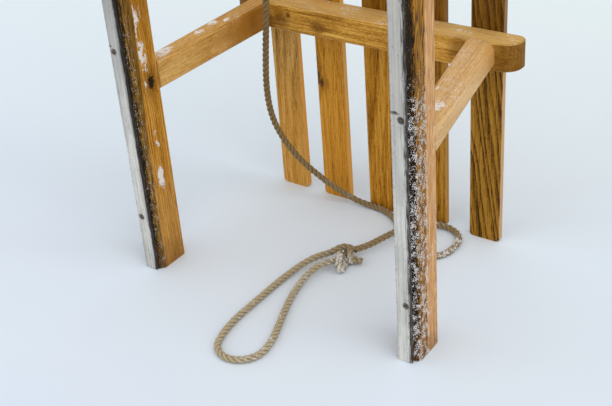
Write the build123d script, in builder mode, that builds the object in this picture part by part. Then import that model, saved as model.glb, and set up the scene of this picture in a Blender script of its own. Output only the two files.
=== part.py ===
from build123d import *
import os
from math import radians, tan

os.makedirs("parts", exist_ok=True)

# A slatted wooden sled with bent runners, standing on its tail, in millimetres.
# X runs across the sled, Y from the soles of the runners (-Y) to the seat (+Y),
# and Z from the tail, which stands on the floor, up to the bent front.

# Driving dimensions of the whole
overall_length = 1000
runner_spacing = 304        # between the middles of the two runners
beam_height = 184           # from the outer face of the soles to the underside of the beams
joint_clearance = 0.15      # round every tenon, on each side

# Runners and the steel strips under them
runner_width = 24
runner_depth = 36.5
sole_chamfer = 5
upper_edge_radius = 2
bend_radius = 187           # on the sole side of the wood
tip_thickness = 29
tip_rounding = 11
strip_width = 14
strip_thickness = 3
strip_tail_gap = 0.5

# Crossbeams, which the slats lie on
beam_length = 326
beam_depth = 31             # along Y
beam_width = 28             # along Z
beam_taper = 5.5            # the underside rises this far towards each end
beam_taper_x = 100          # where the rise starts, from the sled's middle
beam_taper_bend = 120       # radius of the underside there
beam_end_radius = 17        # the rounded corners under each end
beam_seat_radius = 8.5      # the rounded corners at the seat
beam_edge_chamfer = 1.2
rear_beam_z = 219.5         # middle of the beam above the tail
front_beam_z = 690

# Legs, splayed outwards and slanted along the sled
leg_foot_thickness = 25     # along X
leg_head_thickness = 28
leg_foot_width = 28         # along Z, at the runner
leg_outer_rounding = 9      # of the long edges away from the sled's middle
leg_inner_chamfer = 2
leg_foot_inset = 1          # from the middle of the runner to the middle of the foot
leg_head_inset = 35         # from the end of the beam to the middle of the head
leg_slant = 13.5            # the foot's offset along Z from the head
leg_housing = 6             # the shoulders are let this far into the beam
tenon_thickness = 13        # along X
tenon_width = 17            # along Z
foot_tenon_length = 18
head_tenon_length = 16

# Slats of the seat
slat_count = 5
slat_width = 34
slat_pitch = 60
slat_shifts = (0.5, -2, -1.5, -1, 1)    # from even places, as nailed by hand
slat_thickness = 8
slat_front_gap = 6          # from the slats' front ends to the front of the sled
slat_corner_radius = 5
slat_edge_radius = 2

# Round pull bar between the tips of the runners
bar_radius = 12
bar_flat_depth = 1.2        # planed off the bar where the slats lie on it
bar_tenon_radius = 8
bar_tenon_projection = 2    # beyond the outer face of the runner

# Pull rope
rope_diameter = 7
rope_floor_gap = 0.1
hitch_gap_index = 0         # the gap between slats that holds the hitch, counted from the left
hitch_width = 15
hitch_clearance = 0.3
hitch_knot_radius = 6.5
hitch_knot_drop = 24        # from the middle of the bar to the underside of the hitch's knot
hitch_knot_rise = 9         # from the middle of the bar to the top of the hitch's knot
rope_sides = 8              # flat sides of the plain tube
knot_length = 28
knot_width = 30
knot_height = 19
knot_chamfer = 4
knot_heading = 238          # degrees from +X, from the line towards the loop
knot_shift = 3              # of the knot's body to one side of the line
strand_spread = 7.5         # from the line to each strand of the loop
line_exit_run = 42          # straight down out of the hitch
knot_exit_run = 14          # straight out of the knot, for each strand

# Levels along Y that follow from the sizes above
seat_height = beam_height + beam_depth + slat_thickness
sole_y = -seat_height / 2
wood_y = sole_y + strip_thickness
runner_top_y = wood_y + runner_depth
beam_y = sole_y + beam_height
slat_y = beam_y + beam_depth
seat_y = slat_y + slat_thickness

# Levels along Z and the place of the bar
runner_x = runner_spacing / 2
runner_front = overall_length - strip_thickness
bend_start = runner_front - bend_radius
bar_y = slat_y - bar_radius + bar_flat_depth
bar_z = runner_front - tip_thickness / 2
slat_length = overall_length - slat_front_gap
runner_inner_face = runner_x - runner_width / 2
leg_foot_x = runner_x - leg_foot_inset
leg_head_x = beam_length / 2 - leg_head_inset

sides = {"left": -1, "right": 1}
# Each yoke: name, middle of its beam, and the way its feet lean along Z
yokes = [("rear", rear_beam_z, -1), ("front", front_beam_z, 1)]


def leg_centre(side, yoke_z, lean, y):
    """The point of a leg's centre line at one level of Y."""
    share = max(0, (beam_y - y) / (beam_y - runner_top_y))
    across = leg_head_x + (leg_foot_x - leg_head_x) * share
    return Vector(side * across, y, yoke_z + lean * leg_slant * share)


def along_leg(side, yoke_z, lean, stretches):
    """A solid on a leg's centre line. Each stretch has two sections: (Y, X size, Z size, rounded)."""
    outward = Axis((0, 0, 0), (side, 0, 0))
    with BuildPart() as piece:
        for stretch in stretches:
            for y, across, along, rounded in stretch:
                centre = leg_centre(side, yoke_z, lean, y)
                with BuildSketch(Plane(centre, x_dir=(1, 0, 0), z_dir=(0, 1, 0))) as section:
                    Rectangle(across, along)
                    if rounded:
                        fillet(section.vertices().group_by(outward)[-1], radius=leg_outer_rounding)
                        chamfer(section.vertices().group_by(outward)[0], length=leg_inner_chamfer)
            loft()
    return piece.part


def tenon(y_shoulder, y_end, clearance=0):
    """Two sections of a tenon, or of its mortise where a clearance is given."""
    deeper = clearance if y_end > y_shoulder else -clearance
    size = (tenon_thickness + 2 * clearance, tenon_width + 2 * clearance, False)
    return ((y_shoulder, *size), (y_end + deeper, *size))


foot_tenon_end = runner_top_y - foot_tenon_length
shoulder_y = beam_y + leg_housing
head_tenon_end = shoulder_y + head_tenon_length
shaft = (
    (runner_top_y, leg_foot_thickness, leg_foot_width, True),
    (beam_y, leg_head_thickness, beam_width, True),
)


def shoulder(clearance=0):
    """Two sections of a leg's end in the beam, or of its housing where a clearance is given."""
    size = (leg_head_thickness + 2 * clearance, beam_width + 2 * clearance, True)
    return ((beam_y, *size), (shoulder_y, *size))


# Legs, each with a tenon at its foot and one at its head
for yoke_name, yoke_z, lean in yokes:
    for side_name, side in sides.items():
        foot, head = tenon(runner_top_y, foot_tenon_end), tenon(shoulder_y, head_tenon_end)
        leg = along_leg(side, yoke_z, lean, [foot, shaft, shoulder(), head])
        leg.label = f"leg_{yoke_name}_{side_name}"
        export_step(leg, f"parts/{leg.label}.step")

# Crossbeams with tapered and rounded ends, and a housing and a mortise for each leg
for yoke_name, yoke_z, lean in yokes:
    mortises = []
    for side in sides.values():
        housing = shoulder(joint_clearance)
        mortise = tenon(shoulder_y, head_tenon_end, joint_clearance)
        mortises.append(along_leg(side, yoke_z, lean, [housing, mortise]))
    with BuildPart() as beam:
        with BuildSketch(Plane.XY.offset(yoke_z - beam_width / 2)) as beam_outline:
            with BuildLine():
                Polyline(
                    (-beam_length / 2, slat_y),
                    (-beam_length / 2, beam_y + beam_taper),
                    (-beam_taper_x, beam_y),
                    (beam_taper_x, beam_y),
                    (beam_length / 2, beam_y + beam_taper),
                    (beam_length / 2, slat_y),
                    close=True,
                )
            make_face()
            fillet(beam_outline.vertices().group_by(Axis.Y)[0], radius=beam_taper_bend)
            ends = beam_outline.vertices().sort_by(lambda corner: abs(corner.X))[-4:]
            fillet(ends.sort_by(Axis.Y)[:2], radius=beam_end_radius)
            fillet(beam_outline.vertices().group_by(Axis.Y)[-1], radius=beam_seat_radius)
        extrude(amount=beam_width)
        rims = beam.edges().filter_by(Plane.XY)
        chamfer(rims.filter_by(lambda edge: edge.center().Y < slat_y - 0.1), length=beam_edge_chamfer)
        for mortise in mortises:
            add(mortise, mode=Mode.SUBTRACT)
    beam.part.label = f"crossbeam_{yoke_name}"
    export_step(beam.part, f"parts/{beam.part.label}.step")

# Runners: straight, then bent up to the seat, with mortises for the feet and a hole for the bar
inner_radius = bend_radius - tip_thickness
for side_name, side in sides.items():
    mortises = [
        along_leg(side, yoke_z, lean, [tenon(runner_top_y, foot_tenon_end, joint_clearance)])
        for yoke_name, yoke_z, lean in yokes
    ]
    middle = Plane.YZ.offset(side * runner_x)
    with BuildPart() as runner:
        with BuildSketch(middle):
            with BuildLine():
                sole = Line((wood_y, 0), (wood_y, bend_start))
                outer_bend = JernArc(start=sole @ 1, tangent=sole % 1, radius=bend_radius, arc_size=-90)
                tip_top = Line(outer_bend @ 1, (seat_y, runner_front))
                tip_end = Line(tip_top @ 1, (seat_y, runner_front - tip_thickness))
                upper = Line((runner_top_y, 0), (runner_top_y, bend_start))
                inner_bend = JernArc(start=upper @ 1, tangent=upper % 1, radius=inner_radius, arc_size=-90)
                Line(tip_end @ 1, inner_bend @ 1)
                Line(upper @ 0, sole @ 0)
            make_face()
        extrude(amount=runner_width / 2, both=True)
        # The long edges run in planes of constant X, all but those of the tip's end
        rims = runner.edges().filter_by(Plane.YZ)
        bends = rims.filter_by(GeomType.CIRCLE).sort_by(lambda edge: edge.radius)
        chamfer(bends[-2:], length=sole_chamfer)
        rims = runner.edges().filter_by(GeomType.CIRCLE).filter_by(Plane.YZ)
        inner_bends = rims.sort_by(lambda edge: edge.radius)
        fillet(inner_bends[:2], radius=upper_edge_radius)
        # The tip is rounded off by the outline that it keeps
        with BuildSketch(middle) as keep:
            with Locations(((sole_y + seat_y) / 2, overall_length / 2)):
                Rectangle(seat_height, overall_length)
            corner = keep.vertices().group_by(Axis.X)[-1].sort_by(Axis.Y)[-1]
            fillet(corner, radius=strip_thickness + tip_rounding)
        extrude(amount=runner_width, both=True, mode=Mode.INTERSECT)
        for mortise in mortises:
            add(mortise, mode=Mode.SUBTRACT)
        with Locations(Plane((side * runner_x, bar_y, bar_z), z_dir=(1, 0, 0))):
            Hole(radius=bar_tenon_radius + joint_clearance, depth=runner_width)
    runner.part.label = f"runner_{side_name}"
    export_step(runner.part, f"parts/{runner.part.label}.step")

# Steel strips that follow the soles and end at the top of the bend
for side_name, side in sides.items():
    with BuildPart() as strip:
        with BuildSketch(Plane.YZ.offset(side * runner_x)):
            with BuildLine():
                outside = Line((sole_y, strip_tail_gap), (sole_y, bend_start))
                wear_radius = bend_radius + strip_thickness
                wear_bend = JernArc(outside @ 1, outside % 1, radius=wear_radius, arc_size=-90)
                inside = Line((wood_y, strip_tail_gap), (wood_y, bend_start))
                seat_bend = JernArc(inside @ 1, inside % 1, radius=bend_radius, arc_size=-90)
                Line(outside @ 0, inside @ 0)
                Line(wear_bend @ 1, seat_bend @ 1)
            make_face()
        extrude(amount=strip_width / 2, both=True)
    strip.part.label = f"sole_strip_{side_name}"
    export_step(strip.part, f"parts/{strip.part.label}.step")

# Slats of the seat, numbered from the left: a planed profile, cut to length with rounded corners
first_slat_x = -(slat_count - 1) / 2 * slat_pitch
slat_middles = [first_slat_x + index * slat_pitch + slat_shifts[index] for index in range(slat_count)]
for number, slat_x in enumerate(slat_middles, start=1):
    with BuildPart() as slat:
        with BuildSketch() as profile:
            with Locations((slat_x, slat_y + slat_thickness / 2)):
                Rectangle(slat_width, slat_thickness)
            fillet(profile.vertices().group_by(Axis.Y)[-1], radius=slat_edge_radius)
        extrude(amount=slat_length)
        with BuildSketch(Plane((slat_x, slat_y, slat_length / 2), x_dir=(1, 0, 0), z_dir=(0, 1, 0))):
            RectangleRounded(slat_width, slat_length, slat_corner_radius)
        extrude(amount=slat_thickness, mode=Mode.INTERSECT)
    slat.part.label = f"slat_{number}"
    export_step(slat.part, f"parts/{slat.part.label}.step")

# Pull bar: a turned rod with a flat for the slats, and a round tenon at each end
with BuildPart() as bar:
    with BuildSketch(Plane.YZ) as bar_section:
        with Locations((bar_y, bar_z)):
            Circle(bar_radius)
        with Locations((slat_y, bar_z)):
            Rectangle(2 * bar_radius, 2 * bar_radius, align=(Align.MIN, Align.CENTER), mode=Mode.SUBTRACT)
    extrude(amount=runner_inner_face, both=True)
    with BuildSketch(Plane.YZ):
        with Locations((bar_y, bar_z)):
            Circle(bar_tenon_radius)
    extrude(amount=runner_x + runner_width / 2 + bar_tenon_projection, both=True)
    chamfer(bar.faces().sort_by(Axis.X)[0].edges() + bar.faces().sort_by(Axis.X)[-1].edges(), length=1)
bar.part.label = "pull_bar"
export_step(bar.part, "parts/pull_bar.step")

# Hitch of the rope: turns round the bar, in a gap between two slats, and the knot below them
hitch_x = (slat_middles[hitch_gap_index] + slat_middles[hitch_gap_index + 1]) / 2
turn_radius = bar_radius + hitch_clearance + rope_diameter / 2
hitch_centre = Vector(hitch_x, bar_y, bar_z)
line_start = Vector(hitch_x, bar_y - turn_radius, bar_z - hitch_knot_drop)
with BuildPart() as hitch:
    with BuildSketch(Plane(hitch_centre, x_dir=(1, 0, 0), z_dir=(0, -1, 0))):
        with Locations((0, turn_radius)):
            Rectangle(hitch_width, rope_diameter)
    revolve(axis=Axis(hitch_centre, (1, 0, 0)))
    with BuildSketch(Plane.XY.offset(line_start.Z)):
        with Locations((line_start.X, line_start.Y)):
            Circle(hitch_knot_radius)
    extrude(amount=hitch_knot_drop - hitch_knot_rise)
hitch.part.label = "rope_hitch"
export_step(hitch.part, "parts/rope_hitch.step")

# Knot that closes the loop, lying on the floor
rope_z = rope_diameter / 2 + rope_floor_gap
knot_centre = Vector(15, -3.5, knot_height / 2 + rope_floor_gap)
heading = Vector(1, 0, 0).rotate(Axis.Z, knot_heading)
across = heading.rotate(Axis.Z, -90)
line_end = knot_centre - heading * (knot_length / 2)
loop_start = knot_centre + heading * (knot_length / 2) + across * strand_spread
loop_end = knot_centre + heading * (knot_length / 2) - across * strand_spread
with BuildPart() as knot:
    with Locations(Plane(knot_centre - across * knot_shift, x_dir=heading, z_dir=(0, 0, 1))):
        Box(knot_length, knot_width, knot_height)
    chamfer(knot.edges(), length=knot_chamfer)
knot.part.label = "rope_knot"
export_step(knot.part, "parts/rope_knot.step")

# Route of the rope: from the hitch down past both beams to the floor, round in a bight that
# crosses over itself, and to the knot
line_points = [
    line_start,
    line_start - Vector(0, 0, line_exit_run),
    (-92.5, 72, 856),
    (-92, 67, 780),
    (-95, 62, 697),
    (-96.5, 58, 612),
    (-94, 56, 528),
    (-96, 53, 445),
    (-93.5, 52, 365),
    (-94.5, 51, 300),
    (-97.5, 50, 240),
    (-104, 50, 190),
    (-109.5, 52, 147),
    (-109.5, 56, 112),
    (-102, 63, 83),
    (-88.5, 71, 58),
    (-72, 80, 37.5),
    (-54.5, 89, 20.5),
    (-38, 95.5, 8.5),
    (-19, 98.5, rope_z + 0.2),
    (0, 98, rope_z),
    (15.5, 92.5, rope_z),
    (29, 82, rope_z),
    (41.5, 69, rope_z),
    (54, 55, rope_z),
    (65.3, 42.9, rope_z),
    (75.4, 38.8, rope_z),
    (86.2, 39.4, rope_z),
    (95.7, 44.5, rope_z),
    (102.2, 53.1, rope_z),
    (104.4, 63.7, rope_z),
    (104.4, 74.5, rope_z),
    (102.1, 85, rope_z),
    (95.4, 93.6, rope_z),
    (85.8, 98.5, rope_z + 0.2),
    (74.9, 98.9, rope_z + 1.2),
    (65, 94.4, rope_z + 3.2),
    (57.6, 86.6, rope_z + 5.5),
    (51.8, 77.5, rope_z + 7),
    (46.6, 67, rope_z + 7.6),
    (42, 56, rope_z + 7.2),
    (37.8, 45, rope_z + 6.5),
    (33.6, 33.2, knot_centre.Z),
    line_end - heading * knot_exit_run,
    line_end,
]
loop_points = [
    loop_start,
    loop_start + heading * knot_exit_run,
    (-12, -35.5, rope_z + 3.8),
    (-16, -49.5, rope_z + 1.3),
    (-18.2, -66, rope_z + 0.1),
    (-18.7, -84, rope_z),
    (-18.4, -103, rope_z),
    (-18.7, -122, rope_z),
    (-18.4, -140, rope_z),
    (-16.3, -157.5, rope_z),
    (-12, -173.8, rope_z),
    (-7.1, -183.2, rope_z),
    (1.1, -189.7, rope_z),
    (11.3, -192, rope_z),
    (21.5, -189.7, rope_z),
    (29.8, -183.2, rope_z),
    (34.5, -173.9, rope_z),
    (34.9, -163.3, rope_z),
    (31.9, -149.5, rope_z),
    (26.4, -134, rope_z),
    (19.8, -118, rope_z),
    (13.5, -102, rope_z),
    (8, -86, rope_z),
    (4.2, -71, rope_z + 0.4),
    (2.6, -57.5, rope_z + 2),
    (3.4, -44, rope_z + 4.4),
    loop_end + heading * knot_exit_run,
    loop_end,
]


def rope_tube(name, points):
    """A plain tube with flat sides, along straight runs joined by arcs as large as the runs allow."""
    route = [Vector(point) for point in points]
    radii = []
    for before, point, after in zip(route, route[1:], route[2:]):
        turn = (point - before).get_angle(after - point)
        shorter_run = min((point - before).length, (after - point).length)
        radii.append(0.45 * shorter_run / tan(radians(turn / 2)))
    with BuildPart() as tube:
        with BuildLine() as path:
            FilletPolyline(*route, radius=radii)
        wire = path.wire()
        with BuildSketch(Plane(wire @ 0, z_dir=wire % 0)) as section:
            RegularPolygon(rope_diameter / 2, rope_sides)
        sweep(path=wire)
    runs = [(after - before).length for before, after in zip(route, route[1:])]
    share = tube.part.volume / (wire.length * section.sketch.area)
    print(f"{name}: length {wire.length:.1f}, volume against section times length {share:.4f}")
    print("  radii", [round(radius) for radius in radii], "runs", [round(run) for run in runs])
    tube.part.label = name
    export_step(tube.part, f"parts/{name}.step")


rope_tube("rope_line", line_points)
rope_tube("rope_loop", loop_points)
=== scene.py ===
import math
import random

import bpy
from mathutils import Matrix, Vector


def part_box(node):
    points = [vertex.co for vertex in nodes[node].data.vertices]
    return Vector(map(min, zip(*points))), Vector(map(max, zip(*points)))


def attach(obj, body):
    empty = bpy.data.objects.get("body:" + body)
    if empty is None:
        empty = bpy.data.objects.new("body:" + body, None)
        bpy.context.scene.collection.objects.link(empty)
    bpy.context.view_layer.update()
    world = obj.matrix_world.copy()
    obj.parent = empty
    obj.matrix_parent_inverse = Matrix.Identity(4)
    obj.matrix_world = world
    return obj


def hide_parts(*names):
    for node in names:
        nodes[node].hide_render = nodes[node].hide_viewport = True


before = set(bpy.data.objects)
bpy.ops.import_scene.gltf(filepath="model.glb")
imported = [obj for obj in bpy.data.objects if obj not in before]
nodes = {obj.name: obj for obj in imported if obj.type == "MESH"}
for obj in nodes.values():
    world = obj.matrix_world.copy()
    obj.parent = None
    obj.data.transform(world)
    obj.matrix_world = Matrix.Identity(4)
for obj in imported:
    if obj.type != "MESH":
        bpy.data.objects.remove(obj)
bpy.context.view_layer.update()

scene = bpy.context.scene
MM = 0.001
X, Y, Z = Vector((1, 0, 0)), Vector((0, 1, 0)), Vector((0, 0, 1))
SIDES = (-1, 1)

# Camera of the photograph
PHOTO_WIDTH = 612
FOCAL_PIXELS = 1112.9
CAMERA_PLACE = Vector((0.5629, -0.7812, 0.6398))
CAMERA_YAW = math.radians(-37.18)
CAMERA_PITCH = math.radians(30.81)
CAMERA_ROLL = math.radians(-4.57)
SENSOR_WIDTH = 36


def middle_of(name):
    low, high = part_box(name)
    return (low + high) / 2


# Levels of the sled, read from the frame
strip_low, strip_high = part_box("sole_strip_right")
sole_y = strip_low.y
seat_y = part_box("slat_1")[1].y
beam_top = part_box("crossbeam_rear")[1].z
runner_x = middle_of("runner_right").x
bend_radius = strip_high.y - strip_low.y
bend_z = strip_high.z - bend_radius
BAR_RADIUS = 0.012
bar_centre = Vector((0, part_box("pull_bar")[0].y + BAR_RADIUS, middle_of("pull_bar").z))

# Nails in the steel strips
NAIL_FIRST_Z = 0.0623
NAIL_GAP = 0.1802
NAIL_COUNT = 5
NAIL_RADIUS = 0.0021
NAIL_X = runner_x + 0.0025
NAIL_TURNS = (30, 60, 84)

# Rope
ROPE_DIAMETER = 0.007
ROPE_LAY = 0.0180
STRAND_RADIUS = 0.00172
STRAND_OFFSET = 0.00180
ROPE_Z = 0.0036
KNOT_CENTRE = Vector((0.0150, -0.0035, 0.0096))
KNOT_HEADING = math.radians(238)
KNOT_HALF_LENGTH = 0.014
STRAND_SPREAD = 0.0075
KNOT_EXIT_RUN = 0.014
LINE_EXIT_RUN = 0.042
HITCH_X = middle_of("rope_hitch").x
HITCH_TURN_RADIUS = 0.0158
HITCH_TURNS = 1.25
HITCH_DROP = 0.024
HITCH_PITCH = 0.0074
HITCH_SHIFT = 0.0046
COLLAR_RADIUS = 0.0072
COLLAR_TURNS = 1.5
COLLAR_PITCH = 0.0062
STEPS_PER_TURN = 12

# Stray fibres of the rope
FUZZ_LENGTHS = (0.002, 0.005)
FUZZ_BENDS = (0.1, 0.5)
FUZZ_THICKNESS = 0.00008
FUZZ_ROOT = 0.42
FUZZ_ABOVE_FLOOR = 0.0003


class Graph:
    """A short way to write the nodes of one material."""

    def __init__(self, name):
        self.material = bpy.data.materials.new(name)
        self.material.use_nodes = True
        self.tree = self.material.node_tree
        self.tree.nodes.clear()

    def feed(self, socket, value):
        if isinstance(value, bpy.types.NodeSocket):
            self.tree.links.new(value, socket)
        else:
            socket.default_value = value

    def node(self, kind, inputs=None, **settings):
        made = self.tree.nodes.new("ShaderNode" + kind)
        for key, value in settings.items():
            setattr(made, key, value)
        for key, value in (inputs or {}).items():
            self.feed(made.inputs[key], value)
        return made

    def place(self):
        return self.node("TexCoord").outputs["Object"]

    def normal(self):
        return self.node("NewGeometry").outputs["Normal"]

    def math(self, operation, first, second=0.0, third=0.0):
        inputs = {0: first, 1: second}
        if operation == "MULTIPLY_ADD":
            inputs[2] = third
        return self.node("Math", inputs, operation=operation).outputs[0]

    def times(self, first, second):
        return self.math("MULTIPLY", first, second)

    def larger(self, first, second):
        return self.math("MAXIMUM", first, second)

    def vector(self, operation, first, second=(0, 0, 0), output=0):
        return self.node("VectorMath", {0: first, 1: second}, operation=operation).outputs[output]

    def dot(self, first, second):
        return self.vector("DOT_PRODUCT", first, second, output="Value")

    def length(self, vector):
        return self.vector("LENGTH", vector, output="Value")

    def distance(self, first, second):
        return self.length(self.vector("SUBTRACT", first, second))

    def split(self, vector):
        return self.node("SeparateXYZ", {0: vector}).outputs

    def stretched(self, values, scales):
        """A vector of three values, each times its scale."""
        scaled = [self.times(value, scale) for value, scale in zip(values, scales)]
        return self.node("CombineXYZ", dict(enumerate(scaled))).outputs[0]

    def span(self, value, low, high, to_low=0.0, to_high=1.0):
        """value taken from low..high to to_low..to_high, smoothly and within them."""
        inputs = {"Value": value, "From Min": low, "From Max": high, "To Min": to_low, "To Max": to_high}
        return self.node("MapRange", inputs, interpolation_type="SMOOTHSTEP").outputs[0]

    def band(self, value, low, high, soft):
        """1 between low and high, 0 outside, with soft ends."""
        below = self.span(value, high + soft, high - soft)
        return self.times(self.span(value, low - soft, low + soft), below)

    def noise(self, vector, scale, detail=2.0, roughness=0.5):
        inputs = {"Vector": vector, "Scale": scale, "Detail": detail, "Roughness": roughness}
        return self.node("TexNoise", inputs).outputs["Fac"]

    def streaks(self, values, scales, detail=2.0, roughness=0.5):
        """Noise that has a scale of its own for each of the three values."""
        return self.noise(self.stretched(values, scales), 1, detail, roughness)

    def sum(self, start, *terms):
        """start plus each (value, weight) term, where 0.5 is a term's middle."""
        for value, weight in terms:
            start = self.math("MULTIPLY_ADD", self.math("SUBTRACT", value, 0.5), weight, start)
        return start

    def mix(self, factor, first, second):
        return self.node("Mix", {0: factor, 6: first, 7: second}, data_type="RGBA").outputs[2]

    def ramp(self, factor, stops):
        made = self.node("ValToRGB", {"Fac": factor})
        band = made.color_ramp
        while len(band.elements) < len(stops):
            band.elements.new(0.5)
        for element, (place, colour) in zip(band.elements, stops):
            element.position = place
            element.color = colour
        return made.outputs["Color"]

    def finish(self, look, bump_distance, bump_strength, **constants):
        """Joins a look to the surface shader. constants are the shader's own sockets."""
        bump = self.node("Bump", {"Height": look["height"], "Distance": bump_distance,
                                  "Strength": bump_strength})
        inputs = {"Base Color": look["colour"], "Roughness": look["roughness"], "Normal": bump.outputs[0]}
        shader = self.node("BsdfPrincipled", inputs)
        for key, value in constants.items():
            shader.inputs[key.replace("_", " ")].default_value = value
        output = self.node("OutputMaterial")
        self.tree.links.new(shader.outputs[0], output.inputs[0])
        return self.material


def rgb(red, green, blue):
    """A colour as it looks on a screen, 0 to 255, as the shader's linear values."""
    channels = [value / 255 for value in (red, green, blue)]
    return tuple(c / 12.92 if c <= 0.04045 else ((c + 0.055) / 1.055) ** 2.4 for c in channels) + (1,)


def give(name, material):
    """Puts a material on a CAD node."""
    for slot in nodes[name].material_slots:
        slot.material = material


# Wood. Tones run from the darkest streaks through late and early wood to the palest
TONE_STOPS = (0.16, 0.40, 0.60, 0.86)
HONEY = (rgb(98, 58, 16), rgb(150, 104, 40), rgb(188, 140, 66), rgb(216, 174, 104))
GOLD = (rgb(110, 68, 14), rgb(170, 117, 38), rgb(210, 157, 68), rgb(234, 192, 108))
AMBER = (rgb(98, 56, 4), rgb(152, 96, 14), rgb(192, 130, 34), rgb(214, 160, 66))
TAWNY = (rgb(92, 52, 2), rgb(142, 90, 12), rgb(180, 120, 28), rgb(204, 150, 58))
ORANGE = (rgb(108, 62, 4), rgb(158, 102, 20), rgb(190, 132, 44), rgb(212, 160, 78))
OLIVE = (rgb(78, 44, 2), rgb(120, 76, 8), rgb(160, 108, 24), rgb(184, 132, 48))
BROWN = (rgb(42, 24, 2), rgb(84, 52, 6), rgb(140, 96, 24), rgb(170, 122, 44))
PALE = (rgb(164, 116, 64), rgb(196, 152, 98), rgb(216, 178, 126), rgb(230, 200, 154))
STRAW = (rgb(146, 96, 36), rgb(188, 138, 68), rgb(214, 168, 98), rgb(234, 194, 130))

# Marks on the wood
KNOT_BLACK = rgb(28, 22, 16)
CLOUD_BROWN = rgb(104, 62, 14)
WORN = rgb(212, 172, 114)
FROST = rgb(236, 233, 231)
LINE_DARK = rgb(38, 25, 12)
OUTER_STREAK = rgb(142, 90, 44)
OUTER_LINE = rgb(150, 98, 50)
SOLE_BLACKS = (rgb(16, 12, 9), rgb(42, 34, 26))

# Noises in the wood: scales across, in depth and along the grain, then detail and roughness
BROAD = ((95, 95, 2.5), 2, 0.5)
STREAKS = ((360, 360, 8), 3, 0.6)
FIBRES = ((1150, 1150, 34), 2, 0.6)
PORES = ((1000, 1000, 52), 2, 0.6)
MOTTLE = ((700, 700, 260), 2, 0.6)
RING_WANDER = ((14, 14, 3.2), 3)
RING_WAVER = ((75, 75, 11), 2)
RING_UNEVEN = ((1, 1, 90), 1)
LIMIT_WAVER = ((60, 60, 16), 3, 0.6)
STAIN_STREAKS = ((240, 900, 10), 4, 0.65)
STAIN_FINE = ((500, 900, 26), 3, 0.6)
LINE_SWELL = ((60, 110, 8), 3, 0.55)
BLACK_EDGE = ((800, 1000, 130), 4, 0.8)
COLUMN_PATCHES = ((90, 90, 42), 3)

# Noises that are alike in every direction: scale, detail and roughness
KNOT_EDGE = (380, 3, 0.65)
WORN_PATCHES = (60, 4, 0.7)
TONE_PATCHES = (55, 3, 0.6)
FROST_CLUMPS = (170, 3, 0.6)
COLUMN_BEND = (22, 2)
FROST_LEVEL = (30, 2)
FROST_PATCHES = (60, 2)
LEG_DUST = (38, 3, 0.6)
BEAM_DUST = (60, 3, 0.6)

# The inner layer of a runner: heights between which its depth changes, and its slanted grain lines
LIMIT_HEIGHTS = (0.05, 0.30)
LINE_SLANT = -0.16
LINES_PER_METRE = 270.0
LINE_SWELL_SHARE = 8.0

# Frost on the left runner: the chain of patches by depth above the sole and by height, and the dust
COLUMN_DEPTHS = (0.0178, 0.0262)
COLUMN_HEIGHTS = (0.08, 0.32)
DUST_DEPTHS = (0.003, 0.011)

# Depth and strength of the grain's relief, and how much coarser the frost is upwards than sideways
WOOD_RELIEF = (0.00022, 0.6)
FROST_UPWARDS = 0.68


def wood(name, axes, tones, pith=(0.03, 0.05), tilt=(0.02, 0.03), ring=0.0028, shift=(0, 0, 0),
         late=0.25, contrast=1.0, wave=0.4, pore=1.0, bent=False, knots=(), layers=()):
    """Dresses a CAD node in planed and varnished wood, with the grain along the last of its three axes.

    axes are the board's directions across, in depth and along, and a bent board follows the runner's
    bend. pith and tilt place the middle of its growth rings, ring is their spacing, late their strength
    and wave how much they wander. shift moves the whole grain, contrast is the strength of its streaks
    and pore that of the short dark pores. knots are dark marks as (centre, size). layers are functions
    that add a stain, wear or frost to the look.
    """
    graph = Graph(f"{name}_wood")
    place = graph.place()
    inside = [graph.dot(place, direction) for direction in axes]
    if bent:
        inside = bent_place(graph, *inside)
    grain = [graph.math("ADD", value, offset) for value, offset in zip(inside, shift)]
    heart, halo = knot_marks(graph, place, knots)
    late_wood = growth_rings(graph, grain, pith, tilt, ring, wave, halo)
    broad, streaks, fibres, pores, mottle = (
        graph.streaks(grain, *noise) for noise in (BROAD, STREAKS, FIBRES, PORES, MOTTLE))
    pores = graph.span(pores, 0.52, 0.68)
    tone = graph.sum(0.47, (broad, 0.5 * contrast), (streaks, 0.9 * contrast), (fibres, 0.9 * contrast),
                     (mottle, 0.5), (late_wood, -late), (pores, -0.30 * pore))
    colour = graph.ramp(tone, list(zip(TONE_STOPS, tones)))
    colour = graph.mix(graph.times(halo, 0.55), colour, tones[0])
    colour = graph.mix(graph.times(heart, 0.97), colour, KNOT_BLACK)
    height = graph.sum(0.5, (late_wood, 0.2), (fibres, 0.9), (pores, -0.5))
    look = {"colour": colour, "roughness": graph.span(streaks, 0.35, 0.7, 0.42, 0.56), "height": height}
    for layer in layers:
        layer(graph, place, inside, look)
    give(name, graph.finish(look, *WOOD_RELIEF, Specular_IOR_Level=0.08))


def growth_rings(graph, grain, pith, tilt, ring, wave, halo):
    """How far into the late wood of its ring each place is. The rings waver and bend round knots."""
    wander = graph.streaks(grain, *RING_WANDER)
    waver = graph.streaks(grain, *RING_WAVER)
    middle = [graph.math("MULTIPLY_ADD", grain[2], lean, start) for lean, start in zip(tilt, pith)]
    off = [graph.math("SUBTRACT", value, centre) for value, centre in zip(grain, middle)]
    around = graph.length(graph.stretched([*off, 0.0], (1, 1, 1)))
    around = graph.sum(around, (wander, 0.016 * wave), (waver, 0.005 * wave), (halo, 0.004))
    uneven = graph.streaks([0.0, 0.0, around], *RING_UNEVEN)
    phase = graph.math("FRACT", graph.sum(graph.math("DIVIDE", around, ring), (uneven, 2.4)))
    return graph.times(graph.span(phase, 0.10, 0.85), graph.span(phase, 1.0, 0.90))


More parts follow.
